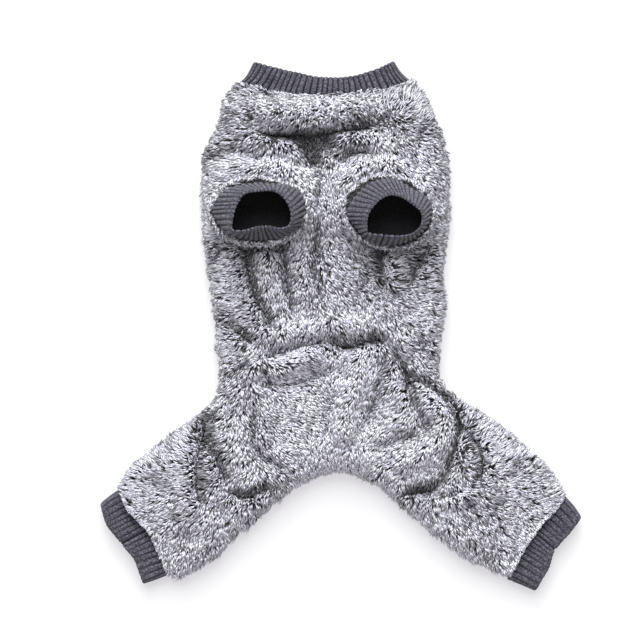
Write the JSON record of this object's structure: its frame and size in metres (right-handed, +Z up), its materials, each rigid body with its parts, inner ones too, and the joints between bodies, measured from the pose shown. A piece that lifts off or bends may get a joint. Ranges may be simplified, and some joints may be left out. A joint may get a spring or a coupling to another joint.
{
  "type": "dog pajamas",
  "caption": "Dog onesie of long-pile fleece with rib-knit neck band, sleeve cuffs and leg cuffs, laid flat on its back with the belly side up.",
  "frame": {"origin": "centre of the laid-out outline, on the surface that the garment lies on", "axes": "+Y from tail to neck, +X to the right as seen from above, +Z up out of the surface"},
  "size_m": [0.3856, 0.425, 0.0553],
  "materials": {
    "fleece": "long soft pile, pale grey tips over dark roots, no shine",
    "rib_knit": "matt heathered dark grey rib knit"
  },
  "bodies": {
    "root": {"back_panel": "fleece", "belly_left": "fleece", "belly_right": "fleece", "hind_panel": "fleece", "leg_left": "fleece", "leg_right": "fleece", "sleeve_left": "fleece", "sleeve_right": "fleece", "neck_band": "rib_knit", "sleeve_cuff_left": "rib_knit", "sleeve_cuff_right": "rib_knit", "leg_cuff_left": "rib_knit", "leg_cuff_right": "rib_knit"}
  },
  "joints": []
}
